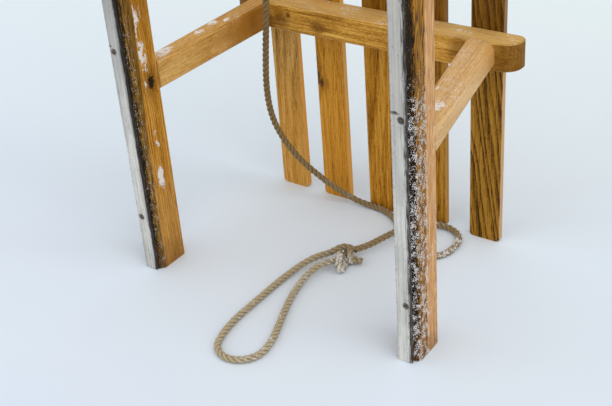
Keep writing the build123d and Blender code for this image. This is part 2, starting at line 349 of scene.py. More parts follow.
def knot_marks(graph, place, marks):
    """Masks of the dark hearts of knots and of the browner wood round them."""
    heart, halo = 0.0, 0.0
    ragged = graph.noise(place, *KNOT_EDGE)
    for centre, size in marks:
        scaled = graph.vector("DIVIDE", graph.vector("SUBTRACT", place, centre), size)
        away = graph.sum(graph.length(scaled), (ragged, 1.5))
        heart = graph.larger(heart, graph.span(away, 1.0, 0.55))
        halo = graph.larger(halo, graph.span(away, 3.0, 0.8))
    return heart, halo


def bent_place(graph, u, v, s):
    """Turns a place on a runner into depth above the sole and length along it, round the bend too."""
    arm = graph.math("SUBTRACT", sole_y + bend_radius, v)
    rise = graph.larger(graph.math("SUBTRACT", s, bend_z), 0.0)
    squares = graph.math("MULTIPLY_ADD", arm, arm, graph.times(rise, rise))
    depth = graph.math("SUBTRACT", bend_radius, graph.math("SQRT", squares))
    turned = graph.times(graph.math("ARCTAN2", rise, arm), bend_radius)
    return [u, depth, graph.math("ADD", graph.math("MINIMUM", s, bend_z), turned)]


# Layers on the wood

def roughen(graph, look, mask, roughness):
    """Makes a look at least so rough where the mask is 1."""
    look["roughness"] = graph.larger(look["roughness"], graph.times(mask, roughness))


def rubbed_edges(low, high, axes, width=0.0020):
    """Layer: the long edges of a straight board are worn pale. axes are the two across the board."""

    def layer(graph, place, inside, look):
        parts = graph.split(place)
        near = 1.0
        for axis in axes:
            middle, half = (low[axis] + high[axis]) / 2, (high[axis] - low[axis]) / 2
            offset = graph.math("ABSOLUTE", graph.math("SUBTRACT", parts[axis], middle))
            near = graph.times(near, graph.span(offset, half - width, half))
        patches = graph.noise(place, *WORN_PATCHES)
        worn = graph.times(near, graph.span(patches, 0.40, 0.66, 0.0, 0.5))
        look["colour"] = graph.mix(worn, look["colour"], WORN)
        roughen(graph, look, worn, 0.8)

    return layer


def painted_light_faces(direction, tone, share):
    """Layer: painted light, where the faces that look to both sides along a world direction take another,
    paler tone.
    """

    def layer(graph, place, inside, look):
        facing = graph.math("ABSOLUTE", graph.dot(graph.normal(), direction))
        look["colour"] = graph.mix(graph.span(facing, 0.55, 0.9, 0.0, share), look["colour"], tone)

    return layer


def toned_stretch(axis, start, end, tone, share, spared=(0, 0, 0)):
    """Layer: from start to end along a world axis the wood goes over to another tone, in patches.

    The faces that look along the spared direction keep theirs, and only in part where it is short.
    """

    def layer(graph, place, inside, look):
        patches = graph.noise(place, *TONE_PATCHES)
        shifted = graph.sum(graph.split(place)[axis], (patches, 0.9 * abs(end - start)))
        amount = graph.span(shifted, start, end, 0.0, share)
        taken = graph.span(graph.dot(graph.normal(), spared), 0.9, 0.5)
        look["colour"] = graph.mix(graph.times(amount, taken), look["colour"], tone)

    return layer


def brown_clouds(marks, share=0.6):
    """Layer: soft brown stains, each as (centre, size)."""

    def layer(graph, place, inside, look):
        halo = knot_marks(graph, place, marks)[1]
        look["colour"] = graph.mix(graph.times(halo, share), look["colour"], CLOUD_BROWN)

    return layer


def sole_stain(black_depth, inner_tones, line_share, limit_low, limit_high, outer_tones):
    """Layer: black beside the steel, then a stained inner layer of the runner, then the outer layer.

    black_depth is how deep the black goes, and line_share the strength of the inner layer's dark grain
    lines. limit_low and limit_high are the inner layer's depth near the foot and 0.3 m above the
    floor. The outer layer keeps its wood where outer_tones is empty.
    """

    def layer(graph, place, inside, look):
        _, depth, along = inside
        limit = graph.span(along, *LIMIT_HEIGHTS, limit_low, limit_high)
        waver = graph.streaks(inside, *LIMIT_WAVER)
        beyond = graph.sum(graph.math("SUBTRACT", depth, limit), (waver, 0.004))
        outer = graph.span(beyond, -0.0006, 0.0010)
        fine = graph.streaks(inside, *STAIN_FINE)
        swell = graph.times(graph.streaks(inside, *LINE_SWELL), LINE_SWELL_SHARE)
        slanted = graph.math("MULTIPLY_ADD", along, LINE_SLANT, depth)
        phase = graph.math("FRACT", graph.math("MULTIPLY_ADD", slanted, LINES_PER_METRE, swell))
        grain_line = graph.times(graph.span(phase, 0.32, 0.78), graph.span(phase, 1.0, 0.90))
        stained = graph.mix(graph.span(fine, 0.35, 0.65), *inner_tones)
        stained = graph.mix(graph.times(grain_line, line_share), stained, LINE_DARK)
        colour = look["colour"]
        if outer_tones:
            lines = graph.streaks(inside, *STAIN_STREAKS)
            colour = graph.mix(graph.span(fine, 0.32, 0.68), *outer_tones)
            colour = graph.mix(graph.span(lines, 0.54, 0.64, 0.0, 0.5), colour, OUTER_STREAK)
            colour = graph.mix(graph.times(grain_line, 0.4), colour, OUTER_LINE)
        colour = graph.mix(outer, stained, colour)
        from_sole = graph.sum(depth, (graph.streaks(inside, *BLACK_EDGE), 0.014))
        black = graph.span(from_sole, black_depth + 0.001, black_depth - 0.001, 0.0, 0.96)
        beside_strip = graph.span(graph.split(place)[1], strip_high.y + 0.002, strip_high.y - 0.006)
        black = graph.times(black, beside_strip)
        look["colour"] = graph.mix(black, colour, graph.mix(graph.span(fine, 0.4, 0.6), *SOLE_BLACKS))
        roughen(graph, look, black, 0.75)

    return layer


def frost(density, grains=1000):
    """Layer: small grains of frost. density is a function of the graph and the place, from 0 up, and
    grains their number in a metre."""

    def layer(graph, place, inside, look):
        cells = graph.stretched(graph.split(place), (grains, grains, grains * FROST_UPWARDS))
        spots = graph.node("TexVoronoi", {"Vector": cells, "Scale": 1.0})
        chance = graph.split(spots.outputs["Color"])[0]
        clumps = graph.span(graph.noise(place, *FROST_CLUMPS), 0.36, 0.60, 0.45, 1.0)
        reach = graph.times(density(graph, place, inside), clumps)
        radius = graph.math("MULTIPLY_ADD", reach, 0.85, graph.math("MULTIPLY_ADD", chance, -0.55, 0.02))
        white = graph.span(graph.math("SUBTRACT", radius, spots.outputs["Distance"]), 0.0, 0.12)
        look["colour"] = graph.mix(graph.times(white, 0.88), look["colour"], FROST)
        roughen(graph, look, white, 0.8)
        look["height"] = graph.math("ADD", white, look["height"])

    return layer


def left_runner_frost(graph, place, inside):
    """A chain of frost patches along the middle of the runner, and fine dust beside the steel."""
    _, depth, height = inside
    shifted = graph.sum(depth, (graph.noise(place, *COLUMN_BEND), 0.012))
    patches = graph.span(graph.streaks(inside, *COLUMN_PATCHES), 0.44, 0.58)
    column = graph.times(graph.band(shifted, *COLUMN_DEPTHS, 0.0015), patches)
    column = graph.times(column, graph.band(height, *COLUMN_HEIGHTS, 0.02))
    lower = graph.span(height, 0.34, 0.24, 0.0, 0.58)
    dust = graph.times(graph.band(depth, *DUST_DEPTHS, 0.002), lower)
    return graph.larger(graph.times(column, 2.1), dust)


def right_runner_frost(graph, place, inside):
    """Dense fine frost over the lower part, thinner on the outer layer, and a little in the black."""
    _, depth, height = inside
    shifted = graph.sum(height, (graph.noise(place, *FROST_LEVEL), 0.10))
    lower = graph.span(shifted, 0.35, 0.22)
    inner = graph.times(graph.band(depth, 0.002, 0.024, 0.002), lower)
    patches = graph.span(graph.noise(place, *FROST_PATCHES), 0.48, 0.60, 0.3, 0.8)
    most = graph.larger(inner, graph.times(patches, lower))
    streak = graph.times(graph.band(depth, 0.001, 0.008, 0.001), graph.span(height, 0.40, 0.30))
    return graph.larger(most, graph.times(streak, 0.36))


def leg_frost(patches):
    """Frost in patches, each as (centre, size), and a thin dust on the faces that look upwards."""

    def density(graph, place, inside):
        upward = graph.span(graph.dot(graph.normal(), Z), -0.2, 0.5, 0.3, 0.7)
        dust = graph.times(graph.span(graph.noise(place, *LEG_DUST), 0.44, 0.60), upward)
        return graph.larger(dust, graph.times(knot_marks(graph, place, patches)[1], 1.8))

    return density


def beam_frost(graph, place, inside):
    """A thin dust on the upper face, thicker in patches."""
    upward = graph.span(graph.dot(graph.normal(), Z), 0.2, 0.8, 0.0, 0.75)
    return graph.times(graph.span(graph.noise(place, *BEAM_DUST), 0.48, 0.62, 0.34, 1.0), upward)


# Dressing the wooden pieces

LEFT_KNOT = ((-0.140, -0.084, 0.2035), (0.0054, 0.0054, 0.0088))

# Tones, place of the rings' middle, its lean, ring spacing, ring strength, contrast, wave, and the paler
# edge tone painted as light on the side faces
SLAT_LOOKS = (
    (HONEY, (0.012, 0.05), (0.03, 0.010), 0.0036, 0.20, 0.65, 0.5, rgb(222, 156, 66)),
    (AMBER, (0.004, -0.05), (0.0, 0.008), 0.0030, 0.20, 0.85, 0.25, rgb(230, 172, 92)),
    (TAWNY, (-0.03, -0.12), (0.004, 0.01), 0.0026, 0.28, 0.9, 0.25, rgb(186, 132, 60)),
    (OLIVE, (0.05, 0.1), (0.01, 0.006), 0.0026, 0.26, 0.9, 0.3, rgb(176, 126, 56)),
    (BROWN, (-0.03, 0.018), (-0.11, 0.05), 0.0054, 0.36, 0.85, 1.0, rgb(212, 168, 122)),
)

# Side, tones, and the tone near the beam with the places along Y where it starts and is full
LEG_LOOKS = {
    "left": (-1, STRAW, rgb(148, 92, 14), -0.03, 0.05),
    "right": (1, PALE, rgb(192, 140, 70), 0.02, 0.08),
}

# Frost patches on the upper faces of the rear legs, as (centre, size), by side
LEG_PATCHES = {
    -1: (((-0.1500, -0.0540, 0.219), (0.0052, 0.0070, 0.0050)),
         ((-0.1400, -0.0077, 0.225), (0.0026, 0.0036, 0.0040)),
         ((-0.1400, 0.0130, 0.228), (0.0026, 0.0040, 0.0040)),
         ((-0.1300, 0.0250, 0.230), (0.0018, 0.0024, 0.0040))),
    1: (((0.1480, -0.0400, 0.219), (0.0034, 0.0050, 0.0040)),
        ((0.1330, -0.0140, 0.221), (0.0012, 0.0030, 0.0030))),
}
LEG_SPLAY, LEG_SLANT = 0.16, 0.09


def dress_runners():
    left_stain = sole_stain(0.0055, (rgb(98, 68, 20), rgb(158, 116, 50)), 0.5, 0.0095, 0.0165, ())
    right_stain = sole_stain(0.0072, (rgb(132, 84, 12), rgb(188, 130, 38)), 0.85, 0.0200, 0.0225,
                             (rgb(190, 137, 84), rgb(232, 184, 130)))
    foot = toned_stretch(2, 0.045, -0.01, rgb(96, 58, 16), 0.55)
    upper = toned_stretch(2, 0.22, 0.30, rgb(136, 84, 10), 0.5)
    lower = toned_stretch(2, 0.14, 0.05, rgb(200, 154, 92), 0.28)
    for name, side, stain, knots, density in (
            ("runner_left", -1, left_stain, [LEFT_KNOT], left_runner_frost),
            ("runner_right", 1, right_stain, [], right_runner_frost)):
        wood(name, (X, Y, Z), ORANGE, pith=(side * 0.11, -0.05), tilt=(0.012, 0.004), ring=0.0026,
             shift=(0.013 * side, 0, 0.4 * side), late=0.22, bent=True, knots=knots,
             layers=(upper, lower, stain, foot, frost(density, 1700)))


def dress_slats():
    # Painted shade: slats 3 to 5 go darker from just under the beam's top upwards.
    shaded_above_beam = toned_stretch(2, beam_top - 0.016, beam_top - 0.002, rgb(72, 42, 4), 0.55)
    # Painted light: slats 1 and 2 go paler towards their lower ends.
    lit_below_beam = toned_stretch(2, 0.17, 0.08, rgb(216, 146, 50), 0.35)
    for index, (tones, pith, tilt, ring, late, contrast, wave, edge) in enumerate(SLAT_LOOKS):
        name = f"slat_{index + 1}"
        low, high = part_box(name)
        knots = []
        if name == "slat_2":
            knots = [((low.x + 0.0005, low.y, 0.145), (0.0030, 0.006, 0.0120)),
                     ((low.x + 0.0050, low.y, 0.1375), (0.0030, 0.005, 0.0058))]
        # Painted light: the side faces that look along X take the paler edge tone.
        layers = [painted_light_faces(X, edge, 0.75), rubbed_edges(low, high, (0, 1)),
                  shaded_above_beam if index >= 2 else lit_below_beam]
        shift = (-(low.x + high.x) / 2, -low.y, index * 1.7)
        wood(name, (X, Y, Z), tones, pith, tilt, ring, shift, late, contrast, wave, knots=knots,
             layers=layers)


def dress_beams():
    for index, name in enumerate(("crossbeam_rear", "crossbeam_front")):
        low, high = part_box(name)
        middle = (low + high) / 2
        layers = [rubbed_edges(low, high, (1, 2))]
        # Painted shade: the beam goes darker towards its ends, except on its upper faces.
        layers += [toned_stretch(0, side * 0.130, side * 0.150, rgb(100, 60, 6), 0.75, Z) for side in SIDES]
        # Painted light: the faces that look up and down take a paler tone.
        layers.append(painted_light_faces(Z, rgb(212, 182, 124), 0.42))
        if name == "crossbeam_rear":
            mark = ((-0.0885, low.y, middle.z + 0.004), (0.0014, 0.0020, 0.0016))
            clouds = [((-0.113, low.y, middle.z - 0.007), (0.0050, 0.006, 0.0040)),
                      ((-0.052, low.y, middle.z - 0.003), (0.0042, 0.006, 0.0034)),
                      ((-0.098, low.y, middle.z - 0.004), (0.0050, 0.006, 0.0040)),
                      ((0.108, low.y, middle.z + 0.002), (0.0060, 0.006, 0.0060))]
            layers += [brown_clouds(clouds), brown_clouds([mark], 0.9), frost(beam_frost)]
        wood(name, (Z, Y, X), GOLD, pith=(0.01, 0.20), tilt=(0.02, 0.03), ring=0.0024,
             shift=(-middle.z, -middle.y, 0.9 * index), late=0.09, contrast=0.75, wave=0.3, pore=0.2,
             layers=layers)


def dress_legs():
    for yoke, lean in (("rear", -1), ("front", 1)):
        for side_name, (side, tones, near_tone, near_low, near_high) in LEG_LOOKS.items():
            name = f"leg_{yoke}_{side_name}"
            low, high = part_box(name)
            rise = high.y - low.y
            along = Vector((-side * LEG_SPLAY * rise, rise, -lean * LEG_SLANT * rise)).normalized()
            across = along.cross(Z).normalized()
            layers = [toned_stretch(1, near_low, near_high, near_tone, 0.8, Z * 0.75)]
            if yoke == "rear":
                layers.append(frost(leg_frost(LEG_PATCHES[side]), 1300))
            wood(name, (across, across.cross(along), along), tones, pith=(0.02, 0.06), tilt=(0.05, 0.03),
                 ring=0.0034, shift=(0.3 * side, 0.2 * lean, 0.5 * side), late=0.10, contrast=0.4,
                 pore=0.3, layers=layers)


# Steel and rope fibre

STEEL_TONES = (rgb(196, 193, 186), rgb(220, 217, 209))
SCRATCH_GREY = rgb(148, 146, 142)
SPECK_GREY = rgb(116, 114, 112)
EDGE_DIRT = rgb(92, 86, 80)
SMEAR_GREY = rgb(86, 82, 84)
TAR_BLACK = rgb(38, 33, 30)
RUST_BROWN = rgb(70, 58, 48)
STEEL_STREAKS = ((650, 650, 9), 4, 0.6)
STEEL_BLOTCHES = ((60, 60, 24), 4, 0.6)
STEEL_SPECKS = ((420, 420, 200), 3, 0.65)
STEEL_SMEAR = ((1200, 1200, 40), 3, 0.7)
STEEL_TAR = ((1000, 1000, 70), 3, 0.7)
STEEL_EDGE = (260, 4, 0.7)
RUST_PATCHES = (420, 3, 0.7)
RUST_REACH = (0.0044, 0.0022)

# Side, strength of the scratches, reach of the dirt, and the tone higher up
STRIP_LOOKS = {
    "left": (-1, 0.6, 0.006, rgb(150, 149, 144)),
    "right": (1, 0.45, 0.014, rgb(184, 179, 170)),
}


def dress_strips():
    for side_name, look in STRIP_LOOKS.items():
        name = f"sole_strip_{side_name}"
        give(name, strip_steel(f"{name}_steel", *look))


def strip_steel(name, side, scratches, grime, upper_tone):
    """Matte, scratched steel with rust round its nails.

    Dirt lies along both edges, and tar and smears of it reach in from the edge towards +X by about
    grime. scratches is the strength of the scratches, and upper_tone the steel's tone higher up.
    """
    graph = Graph(name)
    place = graph.place()
    parts = graph.split(place)
    streaks, specks = graph.streaks(parts, *STEEL_STREAKS), graph.streaks(parts, *STEEL_SPECKS)
    colour = graph.mix(graph.span(graph.streaks(parts, *STEEL_BLOTCHES), 0.34, 0.64), *STEEL_TONES)
    colour = graph.mix(graph.span(parts[2], 0.14, 0.33, 0.0, 0.75), colour, upper_tone)
    colour = graph.mix(graph.span(streaks, 0.46, 0.68, 0.0, scratches), colour, SCRATCH_GREY)
    colour = graph.mix(graph.span(specks, 0.60, 0.70, 0.0, 0.6), colour, SPECK_GREY)
    off_middle = graph.math("SUBTRACT", parts[0], side * runner_x)
    ragged = graph.sum(graph.math("ABSOLUTE", off_middle), (graph.noise(place, *STEEL_EDGE), 0.005))
    colour = graph.mix(graph.span(ragged, 0.0060, 0.0076, 0.0, 0.7), colour, EDGE_DIRT)
    smeared = graph.sum(off_middle, (graph.streaks(parts, *STEEL_SMEAR), 1.6 * grime))
    colour = graph.mix(graph.span(smeared, 0.0034, 0.0064, 0.0, 0.6), colour, SMEAR_GREY)
    tar = graph.sum(off_middle, (graph.streaks(parts, *STEEL_TAR), grime))
    colour = graph.mix(graph.span(tar, 0.0056, 0.0068, 0.0, 0.9), colour, TAR_BLACK)
    rust = 0.0
    for level in range(NAIL_COUNT):
        centre = (side * NAIL_X, sole_y, NAIL_FIRST_Z + level * NAIL_GAP)
        rust = graph.larger(rust, graph.span(graph.distance(place, centre), *RUST_REACH))
    smear = ((side * NAIL_X - 0.0062, sole_y, NAIL_FIRST_Z + NAIL_GAP + 0.0055), (0.0052, 0.004, 0.0019))
    rust = graph.larger(rust, knot_marks(graph, place, [smear])[0])
    rust = graph.times(rust, graph.span(graph.noise(place, *RUST_PATCHES), 0.3, 0.58, 0.45, 1.0))
    colour = graph.mix(rust, colour, RUST_BROWN)
    look = {"colour": colour, "roughness": graph.span(streaks, 0.3, 0.7, 0.5, 0.68), "height": streaks}
    roughen(graph, look, rust, 0.8)
    return graph.finish(look, 0.0002, 0.35, Metallic=0.15, Specular_IOR_Level=0.2)


ROPE_TONES = ((0.30, rgb(104, 82, 46)), (0.52, rgb(146, 118, 72)), (0.76, rgb(184, 160, 112)))
ROPE_STAIN = rgb(122, 100, 62)
ROPE_BLEACHED = rgb(204, 188, 156)
ROPE_SPECKLE = rgb(84, 66, 40)
# Painted shade in the gaps between yarns and in the grooves between strands
YARN_GAP_SHADE = rgb(84, 66, 38)
STRAND_GROOVE_SHADE = rgb(64, 50, 28)
YARN_TURNS = 9.0
YARNS_PER_METRE = 560
FIBRE_NOISE = ((6, 700, 1), 3, 0.6)
STAIN_NOISE = (70, 3, 0.6)
SPECKLE_NOISE = (1500, 1)
ROPE_FROST_PATCHES = (48, 2)

# Thick frost on the near side of the knot, on the far bight and at the near end of the loop
ROPE_FROST_SPOTS = (((0.023, -0.019, 0.008), 0.024), ((0.100, 0.066, 0.004), 0.038),
                    ((0.018, -0.160, 0.004), 0.030))


def rope_frost(graph, place, inside):
    """Frost in patches on the floor, and thick in a few spots."""
    patches = graph.span(graph.noise(place, *ROPE_FROST_PATCHES), 0.45, 0.60, 0.35, 0.75)
    amount = graph.times(patches, graph.span(graph.split(place)[2], 0.06, 0.02))
    for centre, reach in ROPE_FROST_SPOTS:
        spot = graph.span(graph.distance(place, centre), reach, reach * 0.4, 0.0, 1.15)
        amount = graph.larger(amount, spot)
    return amount


def rope_fibre():
    """Twisted natural fibre. The map holds the length along a strand and the way round it from outside."""
    graph = Graph("rope_fibre")
    place = graph.place()
    _, depth, height = graph.split(place)
    length, girth, _ = graph.split(graph.node("UVMap", uv_map="strand").outputs[0])
    turned = graph.math("MULTIPLY_ADD", girth, YARN_TURNS, graph.times(length, YARNS_PER_METRE))
    yarn = graph.math("ABSOLUTE", graph.math("SINE", graph.times(turned, math.pi)))
    fibre = graph.streaks([turned, length, 0.0], *FIBRE_NOISE)
    outward = graph.math("ABSOLUTE", graph.math("SUBTRACT", girth, 0.5))
    groove_shade = graph.span(outward, 0.33, 0.20)
    colour = graph.ramp(fibre, ROPE_TONES)
    stain = graph.span(graph.noise(place, *STAIN_NOISE), 0.35, 0.7, 0.0, 0.5)
    colour = graph.mix(stain, colour, ROPE_STAIN)
    bleached = graph.span(depth, 0.015, -0.035, 0.15, 0.72)
    bleached = graph.times(bleached, graph.span(height, 0.14, 0.01))
    colour = graph.mix(bleached, colour, ROPE_BLEACHED)
    speckle = graph.span(graph.noise(place, *SPECKLE_NOISE), 0.50, 0.66, 0.0, 0.35)
    colour = graph.mix(speckle, colour, ROPE_SPECKLE)
    # Painted shade: darker in the gaps between yarns and on each strand's inner side, in the grooves
    # between strands.
    colour = graph.mix(graph.span(yarn, 0.40, 0.0, 0.0, 0.45), colour, YARN_GAP_SHADE)
    colour = graph.mix(graph.times(groove_shade, 0.65), colour, STRAND_GROOVE_SHADE)
    look = {"colour": colour, "roughness": 0.85, "height": graph.math("MULTIPLY_ADD", fibre, 0.6, yarn)}
    frost(rope_frost)(graph, place, None, look)
    return graph.finish(look, 0.0003, 0.7, Sheen_Weight=0.1, Specular_IOR_Level=0.15)


HEAD_DIRT = (700, 4, 0.6)


def plain_metal(name, bright, dark):
    """Small steel heads, with dirt in patches."""
    graph = Graph(name)
    patches = graph.noise(graph.place(), *HEAD_DIRT)
    colour = graph.mix(graph.span(patches, 0.35, 0.65), bright, dark)
    look = {"colour": colour, "roughness": graph.span(patches, 0.3, 0.7, 0.4, 0.65), "height": patches}
    return graph.finish(look, 0.0002, 0.5, Metallic=0.7)


# Rope

def centre_line(name, points, step=0.0009):
    """Evenly spaced points of the smooth line that has the route's points as control points."""
    curve = bpy.data.curves.new(name, "CURVE")
    curve.dimensions = "3D"
    curve.resolution_u = 24
    spline = curve.splines.new("NURBS")
    spline.points.add(len(points) - 1)
    for target, point in zip(spline.points, points):
        target.co = (*point, 1)
    spline.order_u = 3
    spline.use_endpoint_u = True
    holder = bpy.data.objects.new(name, curve)
    scene.collection.objects.link(holder)
    line = [vertex.co.copy() for vertex in bpy.data.meshes.new_from_object(holder).vertices]
    bpy.data.objects.remove(holder)
    return evenly_spaced(line, step)


def evenly_spaced(line, step):
    lengths = [0.0]
    for before, after in zip(line, line[1:]):
        lengths.append(lengths[-1] + (after - before).length)
    count = max(2, round(lengths[-1] / step) + 1)
    result, index = [], 0
    for number in range(count):
        target = lengths[-1] * number / (count - 1)
        while index < len(lengths) - 2 and lengths[index + 1] < target:
            index += 1
        share = (target - lengths[index]) / max(lengths[index + 1] - lengths[index], 1e-9)
        result.append(line[index].lerp(line[index + 1], min(share, 1.0)))
    return result


def carried_frames(line):
    """For each point of a line: its tangent and two sideways directions that turn as little as they can."""
    last = len(line) - 1
    tangents = [(line[min(i + 1, last)] - line[max(i - 1, 0)]).normalized() for i in range(len(line))]
    side = tangents[0].orthogonal().normalized()
    frames = []
    for tangent in tangents:
        side = (side - tangent * side.dot(tangent)).normalized()
        frames.append((tangent, side, tangent.cross(side)))
    return frames


def new_piece(name, vertices, faces, material, smooth=True, map_places=None):
    """Makes an object of a mesh, with a map named strand where it has one."""
    mesh = bpy.data.meshes.new(name)
    mesh.from_pydata(vertices, [], faces)
    layer = mesh.uv_layers.new(name="strand") if map_places is not None else None
    for index, polygon in enumerate(mesh.polygons):
        polygon.use_smooth = smooth and len(polygon.vertices) == 4
        for loop, place in zip(polygon.loop_indices, map_places[index] if map_places else ()):
            layer.data[loop].uv = place
    piece = bpy.data.objects.new(name, mesh)
    scene.collection.objects.link(piece)
    mesh.materials.append(material)
    return piece


def circle(centre, one_way, other_way, radius, sides):
    turns = [2 * math.pi * corner / sides for corner in range(sides)]
    return [centre + (one_way * math.cos(turn) + other_way * math.sin(turn)) * radius for turn in turns]


def ring_faces(first, sides, rings):
    """The faces between each ring of vertices and the next."""
    faces = []
    for a in range(first, first + (rings - 1) * sides, sides):
        for corner in range(sides):
            following = (corner + 1) % sides
            faces.append((a + corner, a + following, a + sides + following, a + sides + corner))
    return faces


def laid_rope(name, line, sides=10, start_turn=0.0):
    """Three strands twisted round a line, each ring of vertices counted from its outward side."""
    frames = carried_frames(line)
    step = (line[1] - line[0]).length
    vertices, faces, places = [], [], []
    for strand in range(3):
        first = len(vertices)
        outs, centres = [], []
        for index, (point, (_, side, other)) in enumerate(zip(line, frames)):
            turn = start_turn + 2 * math.pi * (index * step / ROPE_LAY + strand / 3)
            outs.append(side * math.cos(turn) + other * math.sin(turn))
            centres.append(point + outs[-1] * STRAND_OFFSET)
        for centre, out, (tangent, _, _) in zip(centres, outs, carried_frames(centres)):
            out = (out - tangent * out.dot(tangent)).normalized()
            vertices += circle(centre, out, tangent.cross(out), STRAND_RADIUS, sides)
        faces += ring_faces(first, sides, len(centres))
        for index in range(len(centres) - 1):
            low, high = index * step, (index + 1) * step
            for corner in range(sides):
                left, right = corner / sides, (corner + 1) / sides
                places.append(((low, left), (low, right), (high, right), (high, left)))
        for start, flip in ((first, True), (first + (len(centres) - 1) * sides, False)):
            ring = list(range(start, start + sides))
            faces.append(ring[::-1] if flip else ring)
            places.append([(0, 0)] * sides)
    return new_piece(name, vertices, faces, ROPE_FIBRE, map_places=places)


def loose_fibres(name, line, count, seed):
    """Short stray fibres that stand off the rope, as thin three-sided spikes."""
    dice = random.Random(seed)
    frames = carried_frames(line)
    vertices, faces = [], []
    for _ in range(count):
        index = dice.randrange(2, len(line) - 2)
        tangent, side, other = frames[index]
        angle = dice.uniform(0, 2 * math.pi)
        out = side * math.cos(angle) + other * math.sin(angle)
        along = tangent * dice.choice((-1, 1))
        length, bend = dice.uniform(*FUZZ_LENGTHS), dice.uniform(*FUZZ_BENDS)
        root = line[index] + out * ROPE_DIAMETER * FUZZ_ROOT
        path = [root + (along * share + out * bend * share**1.6) * length for share in (0, 0.35, 0.7, 1)]
        if min(point.z for point in path) < FUZZ_ABOVE_FLOOR:
            continue
        first = len(vertices)
        for number, point in enumerate(path[:-1]):
            thick = FUZZ_THICKNESS * (1 - number / 4)
            vertices += circle(point, out, tangent.cross(out), thick, 3)
        vertices.append(path[-1])
        faces += ring_faces(first, 3, 3)
        faces += [(first + 6 + corner, first + 6 + (corner + 1) % 3, first + 9) for corner in range(3)]
        faces.append((first + 2, first + 1, first))
    places = [[(0, 0)] * len(face) for face in faces]
    return new_piece(name, vertices, faces, ROPE_FIBRE, map_places=places)


KNOT_AHEAD = Vector((math.cos(KNOT_HEADING), math.sin(KNOT_HEADING), 0))
KNOT_ACROSS = Vector((math.sin(KNOT_HEADING), -math.cos(KNOT_HEADING), 0))
LINE_START = Vector((HITCH_X, bar_centre.y - HITCH_TURN_RADIUS, bar_centre.z - HITCH_DROP))
LINE_END = KNOT_CENTRE - KNOT_AHEAD * KNOT_HALF_LENGTH
LOOP_START = KNOT_CENTRE + KNOT_AHEAD * KNOT_HALF_LENGTH + KNOT_ACROSS * STRAND_SPREAD
LOOP_END = KNOT_CENTRE + KNOT_AHEAD * KNOT_HALF_LENGTH - KNOT_ACROSS * STRAND_SPREAD
LINE_ROUTE = [
    LINE_START,
    LINE_START - Z * LINE_EXIT_RUN,
    (-0.0925, 0.0720, 0.8560), (-0.0920, 0.0670, 0.7800), (-0.0950, 0.0620, 0.6970),
    (-0.0965, 0.0580, 0.6120), (-0.0940, 0.0560, 0.5280), (-0.0960, 0.0530, 0.4450),
    (-0.0935, 0.0520, 0.3650), (-0.0945, 0.0510, 0.3000), (-0.0975, 0.0500, 0.2400),
    (-0.1040, 0.0500, 0.1900), (-0.1095, 0.0520, 0.1470), (-0.1095, 0.0560, 0.1120),
    (-0.1020, 0.0630, 0.0830), (-0.0885, 0.0710, 0.0580), (-0.0720, 0.0800, 0.0375),
    (-0.0545, 0.0890, 0.0205), (-0.0380, 0.0955, 0.0085), (-0.0190, 0.0985, 0.0038),
    (0.0000, 0.0980, ROPE_Z), (0.0155, 0.0925, ROPE_Z), (0.0290, 0.0820, ROPE_Z),
    (0.0415, 0.0690, ROPE_Z), (0.0540, 0.0550, ROPE_Z), (0.0653, 0.0429, ROPE_Z),
    (0.0754, 0.0388, ROPE_Z), (0.0862, 0.0394, ROPE_Z), (0.0957, 0.0445, ROPE_Z),
    (0.1022, 0.0531, ROPE_Z), (0.1044, 0.0637, ROPE_Z), (0.1044, 0.0745, ROPE_Z),
    (0.1021, 0.0850, ROPE_Z), (0.0954, 0.0936, ROPE_Z), (0.0858, 0.0985, 0.0038),
    (0.0749, 0.0989, 0.0048), (0.0650, 0.0944, 0.0068), (0.0576, 0.0866, 0.0091),
    (0.0518, 0.0775, 0.0106), (0.0466, 0.0670, 0.0112), (0.0420, 0.0560, 0.0108),
    (0.0378, 0.0450, 0.0101), (0.0336, 0.0332, 0.0096),
    LINE_END - KNOT_AHEAD * KNOT_EXIT_RUN,
    LINE_END,
]
LOOP_ROUTE = [
    LOOP_START,
    LOOP_START + KNOT_AHEAD * KNOT_EXIT_RUN,
    (-0.0120, -0.0355, 0.0074), (-0.0160, -0.0495, 0.0049), (-0.0182, -0.0660, 0.0037),
    (-0.0187, -0.0840, ROPE_Z), (-0.0184, -0.1030, ROPE_Z), (-0.0187, -0.1220, ROPE_Z),
    (-0.0184, -0.1400, ROPE_Z), (-0.0163, -0.1575, ROPE_Z), (-0.0120, -0.1738, ROPE_Z),
    (-0.0071, -0.1832, ROPE_Z), (0.0011, -0.1897, ROPE_Z), (0.0113, -0.1920, ROPE_Z),
    (0.0215, -0.1897, ROPE_Z), (0.0298, -0.1832, ROPE_Z), (0.0345, -0.1739, ROPE_Z),
    (0.0349, -0.1633, ROPE_Z), (0.0319, -0.1495, ROPE_Z), (0.0264, -0.1340, ROPE_Z),
    (0.0198, -0.1180, ROPE_Z), (0.0135, -0.1020, ROPE_Z), (0.0080, -0.0860, ROPE_Z),
    (0.0042, -0.0710, 0.0040), (0.0026, -0.0575, 0.0056), (0.0034, -0.0440, 0.0080),
    LOOP_END + KNOT_AHEAD * KNOT_EXIT_RUN,
    LOOP_END,
]


